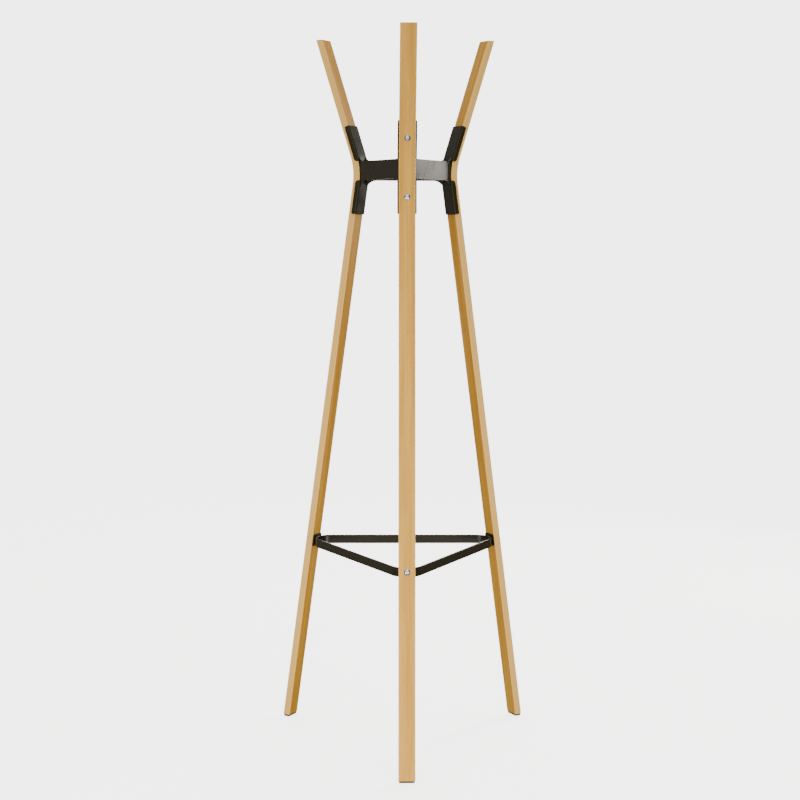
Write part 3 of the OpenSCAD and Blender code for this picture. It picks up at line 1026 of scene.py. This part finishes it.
# %% Lay the floor
FLOOR_RADIUS, STUDIO_WHITE = 40.0, "#fbfbfa"
bm = bmesh.new()
bmesh.ops.create_circle(bm, cap_ends=True, segments=96, radius=FLOOR_RADIUS)
mesh = bpy.data.meshes.new("floor")
bm.to_mesh(mesh)
bm.free()
floor = bpy.data.objects.new("floor", mesh)
bpy.context.scene.collection.objects.link(floor)
paint, tree, shader = new_material("matt_white_floor_paint")
place = add(tree, "TexCoord", {}).outputs["Object"]
mottle = add(tree, "TexNoise", {"Vector": place, "Scale": 3.0, "Detail": 2.0})
tone = add(
    tree, "Mix",
    {"Factor": mottle.outputs["Fac"], 6: linear("#f3f2f0"), 7: linear("#f7f6f4")},
    data_type="RGBA",
)
tree.links.new(tone.outputs[2], shader.inputs["Base Color"])
shader.inputs["Roughness"].default_value = 0.9
shader.inputs["Specular IOR Level"].default_value = 0.1
shader.inputs["Emission Color"].default_value = linear(STUDIO_WHITE)
shader.inputs["Emission Strength"].default_value = 3.0
mesh.materials.append(paint)
floor.visible_glossy = False  # the dark steel mirrors the cloths and not the floor
floor.visible_diffuse = False  # and the floor throws no light up at the shaded sides
floor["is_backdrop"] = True
print("floor radius:", FLOOR_RADIUS, "m")

# %% [markdown]
# The sky stands in for a studio. White walls in front and behind light the wood,
# and the one behind is the backdrop. Dark cloths hang on the left and right: they
# leave the legs' inner faces in shade, and give the dark steel something dark to
# mirror. The roof and the space below the floor are dim for the same reason. All of
# it depends only on the direction, so it is a few ramps of x, y and z.

# %% Paint the sky
world = bpy.data.worlds.new("studio")
bpy.context.scene.world = world
world.use_nodes = True
sky = world.node_tree
BACK_WALL, FRONT_WALL, LEFT_CLOTH, RIGHT_CLOTH = 4.6, 2.4, 0.46, 0.20
PIT, ROOF = 0.25, 0.4  # share of the brightness that is left far below and overhead
direction = add(sky, "TexCoord", {}).outputs["Generated"]
way = add(sky, "SeparateXYZ", {0: direction})
walls = add(
    sky, "MapRange",
    {"Value": way.outputs[1], "From Min": -0.3, "From Max": 0.3,
     "To Min": FRONT_WALL, "To Max": BACK_WALL},
)
cloths = add(
    sky, "MapRange",
    {"Value": way.outputs[0], "From Min": -0.2, "From Max": 0.2,
     "To Min": LEFT_CLOTH, "To Max": RIGHT_CLOTH},
)
sideways = add(sky, "Math", {0: way.outputs[0]}, operation="ABSOLUTE")
covered = add(
    sky, "MapRange", {"Value": sideways.outputs[0], "From Min": 0.32, "From Max": 0.60},
    interpolation_type="SMOOTHSTEP",
)
around = add(
    sky, "Mix", {0: covered.outputs[0], 2: walls.outputs[0], 3: cloths.outputs[0]},
    data_type="FLOAT",
)
from_pit = add(
    sky, "MapRange",
    {"Value": way.outputs[2], "From Min": -0.28, "From Max": -0.20, "To Min": PIT, "To Max": 1.0},
)
to_roof = add(
    sky, "MapRange",
    {"Value": way.outputs[2], "From Min": 0.45, "From Max": 0.75, "To Min": 1.0, "To Max": ROOF},
)
level = add(sky, "Math", {0: from_pit.outputs[0], 1: to_roof.outputs[0]}, operation="MULTIPLY")
strength = add(sky, "Math", {0: around.outputs[0], 1: level.outputs[0]}, operation="MULTIPLY")
backdrop = sky.nodes["Background"]
backdrop.inputs["Color"].default_value = linear(STUDIO_WHITE)
sky.links.new(strength.outputs[0], backdrop.inputs["Strength"])
print("sky nodes:", len(sky.nodes))

# %% [markdown]
# Four lights. A very wide, weak sun straight above gives the feet soft contact
# shadows. Two panels low in front brighten the wood, most of all near the feet. A
# slightly warm one stands far to the right and behind, only to shine in the right
# link plate, which shows that the coat is satin and not matt.

# %% Hang the lights
def panel(name, place, aim, size, watts, colour=(1, 1, 1)):
    """A soft rectangular light, aimed at a point."""
    data = bpy.data.lights.new(name, "AREA")
    data.shape, data.size, data.size_y = "RECTANGLE", *size
    data.energy, data.color = watts, colour
    light = bpy.data.objects.new(name, data)
    light.location = place
    light.rotation_euler = (Vector(aim) - Vector(place)).to_track_quat("-Z", "Y").to_euler()
    bpy.context.scene.collection.objects.link(light)
    return light


WARM = (1.0, 0.96, 0.88)
ceiling_data = bpy.data.lights.new("ceiling", "SUN")
ceiling_data.energy, ceiling_data.angle = 1.5, math.radians(70)
ceiling = bpy.data.objects.new("ceiling", ceiling_data)  # a sun shines straight down
bpy.context.scene.collection.objects.link(ceiling)
lights = [
    ceiling,
    panel("key", (-1.05, -1.9, 0.10), (0, -0.1, 0.4), (0.9, 0.9), 54),
    panel("fill", (1.05, -1.9, 0.10), (0, -0.1, 0.4), (0.9, 0.9), 48),
    panel("side", (2.04, 2.22, 1.72), (0, 0.08, 1.38), (0.7, 0.6), 74, WARM),
]
print("lights:", [(light.name, light.data.energy) for light in lights])

# %% [markdown]
# Last, the size. Looks may not change it: the visual model's box must lie inside
# the CAD box. Here the visual model's box is measured.

# %% Measure the size
low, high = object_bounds()
